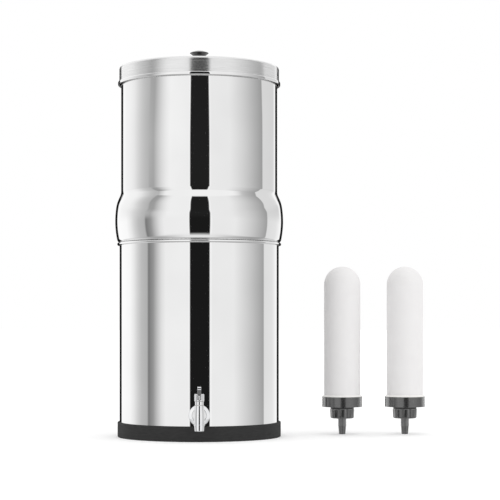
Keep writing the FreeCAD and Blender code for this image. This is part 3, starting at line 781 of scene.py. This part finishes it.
# Studio round the object: brightness against the compass angle in degrees, with 0 towards the camera
flag_left = -13.0
flag_edge = 0.35
flag_strip = 1.3
strip_fade = 1.0
strip_light = 1.10
left_of_strip = 0.98
right_of_strip = 0.94
back_dark = 151.5
back_light = 1.1
back_shade = 0.012
overhead_light = 1.0
background_light = 1.0
soft_top_light = 1.30
ground_shade = 0.16
low_flag = {"right": 15.0, "shade": 0.0115}
high_flag = {"right": 14.3, "shade": 0.017}
low_left = ((-134.0, 1.09), (-118.0, 1.07), (-108.0, 0.93), (-99.3, 0.73), (-91.0, 0.58),
            (-79.6, 0.50), (-78.0, 0.21), (-69.0, 0.35), (-62.0, 0.62), (-55.5, 0.85), (-49.0, 0.98))
high_left = ((-136.0, 1.01), (-122.0, 0.99), (-111.0, 0.92), (-101.8, 0.78), (-93.2, 0.66),
             (-85.0, 0.57), (-70.5, 0.45), (-63.5, 0.64), (-56.9, 0.80), (-50.4, 0.93), (-44.0, 1.02))
low_right = ((50.0, 0.94), (67.0, 0.76), (89.0, 0.54), (105.5, 0.40), (107.0, 0.84),
             (130.0, 0.88), (146.0, 1.05))
high_right = ((45.0, 0.92), (67.0, 0.73), (89.0, 0.51), (105.5, 0.37), (107.0, 0.77),
              (141.0, 0.72), (146.0, 1.0))
ground_stops = ((-180.0, 0.30), (-152.0, 0.62), (-125.0, 0.88), (-98.0, 0.58), (-76.0, 0.38),
                (-50.0, 0.60), (-20.0, 0.90), (20.0, 0.88), (50.0, 0.62), (80.0, 0.40),
                (104.0, 0.36), (126.0, 0.74), (152.0, 0.58), (180.0, 0.30))
soft_stops = ((-180.0, 0.75), (-90.0, 0.55), (0.0, 0.80), (90.0, 1.0), (180.0, 0.75))

# Bands of elevation, in degrees, in which the studio changes
ground_dark_band = (-66.0, -58.0)
flag_foot_band = (-20.0, -16.0)
horizon_band = (-1.0, 1.0)
back_top_band = (13.0, 17.0)
flag_top_band = (42.0, 46.0)
soft_top_band = (0.0, 54.0)

# Shares against the elevation in degrees: of the high level over the low one, and of the narrowing
high_share_stops = ((1.6, 0.0), (3.4, 0.35), (5.5, 0.8), (8.0, 1.0), (12.0, 0.6), (24.0, 0.5))
narrow_stops = ((8.2, 0.0), (12.0, 1.0))
narrow_share = 0.10


def studio_stops(left, flag, right):
    """One level of the studio, all the way round, with the flag and its bright edges in the middle."""
    return (
        (-back_dark, back_light),
        *left,
        (flag_left - flag_strip - strip_fade, left_of_strip),
        (flag_left - flag_strip, strip_light),
        (flag_left - flag_edge, strip_light),
        (flag_left, flag["shade"]),
        (flag["right"], flag["shade"]),
        (flag["right"] + flag_edge, strip_light),
        (flag["right"] + flag_strip, strip_light),
        (flag["right"] + flag_strip + strip_fade, right_of_strip),
        *right,
        (back_dark, back_light),
    )


def studio_world():
    """The studio that the metal mirrors, the soft light it gives, and a white background behind."""
    world = bpy.data.worlds.new("studio")
    bpy.context.scene.world = world
    world.use_nodes = True
    world.cycles.sampling_method = "NONE"
    tree = world.node_tree
    background = tree.nodes["Background"]

    def calculate(operation, *values):
        return calculated(tree, operation, *values)

    direction = tree.nodes.new("ShaderNodeSeparateXYZ")
    tree.links.new(tree.nodes.new("ShaderNodeTexCoord").outputs["Generated"], direction.inputs[0])
    x, y, z = direction.outputs
    compass = calculate("ARCTAN2", x, calculate("MULTIPLY", y, -1.0))
    rise_share = calculate("ADD", calculate("DIVIDE", calculate("ARCSINE", z), math.pi), 0.5)

    def height_ramp(stops):
        return ramp(tree, rise_share, [((height + 90) / 180, share) for height, share in stops])

    def rising(band):
        return height_ramp(((band[0], 0.0), (band[1], 1.0)))

    sideways = calculate("DIVIDE", calculate("ABSOLUTE", compass), math.pi)
    forwardness = calculate("SUBTRACT", 1.0, sideways)
    narrowing = calculate("MULTIPLY", height_ramp(narrow_stops), narrow_share)
    narrowing = calculate("MULTIPLY", narrowing, forwardness)
    turn = calculate("DIVIDE", compass, 2 * math.pi)
    turn_share = calculate("ADD", turn, 0.5)
    narrowed = calculate("ADD", calculate("MULTIPLY", turn, calculate("ADD", narrowing, 1.0)), 0.5)

    def compass_ramp(factor, stops):
        return ramp(tree, factor, [((angle + 180) / 360, shade) for angle, shade in stops])

    def studio_level(left, flag, right):
        return compass_ramp(narrowed, studio_stops(left, flag, right))

    level_light = mixed(
        tree, height_ramp(high_share_stops),
        studio_level(low_left, low_flag, low_right),
        studio_level(high_left, high_flag, high_right),
    )
    behind = compass_ramp(turn_share, (
        (-back_dark - flag_edge, 1.0),
        (-back_dark + flag_edge, 0.0),
        (back_dark - flag_edge, 0.0),
        (back_dark + flag_edge, 1.0),
    ))
    behind = calculate("MULTIPLY", behind, calculate("SUBTRACT", 1.0, rising(back_top_band)))
    level_light = mixed(tree, behind, level_light, opaque(grey(back_shade)))
    beyond = height_ramp((
        (flag_foot_band[0], 1.0),
        (flag_foot_band[1], 0.0),
        (flag_top_band[0], 0.0),
        (flag_top_band[1], 1.0),
    ))
    ground = compass_ramp(turn_share, ground_stops)
    ground = mixed(tree, rising(ground_dark_band), opaque(grey(ground_shade)), ground)
    beyond_light = mixed(tree, rising(horizon_band), ground, opaque(grey(overhead_light)))
    mirrored = mixed(tree, beyond, level_light, beyond_light)
    soft = compass_ramp(turn_share, soft_stops)
    lighting = mixed(tree, rising(soft_top_band), soft, opaque(grey(soft_top_light)))
    light_path = tree.nodes.new("ShaderNodeLightPath").outputs
    colour = mixed(tree, light_path["Is Glossy Ray"], lighting, mirrored)
    colour = mixed(tree, light_path["Is Transmission Ray"], colour, mirrored)
    colour = mixed(tree, light_path["Is Camera Ray"], colour, opaque(grey(background_light)))
    tree.links.new(colour, background.inputs["Color"])
    background.inputs["Strength"].default_value = 1.0


studio_world()


def photograph_camera():
    """Level, turned a little to the right so that the vessel's axis falls left of the middle."""
    data = bpy.data.cameras.new("camera")
    camera = placed("camera", data)
    yaw = math.atan((picture_size / 2 - axis_pixel_x) / focal_pixels)
    camera.location = (0.0, -camera_distance, camera_height)
    camera.rotation_euler = (math.pi / 2, 0.0, -yaw)
    data.sensor_width = sensor_width
    data.lens = focal_pixels / picture_size * sensor_width
    data.shift_y = (horizon_pixel_y - picture_size / 2) / picture_size
    data.clip_end = farthest_seen
    bpy.context.scene.camera = camera


photograph_camera()
bpy.context.scene.view_settings.view_transform = "Standard"
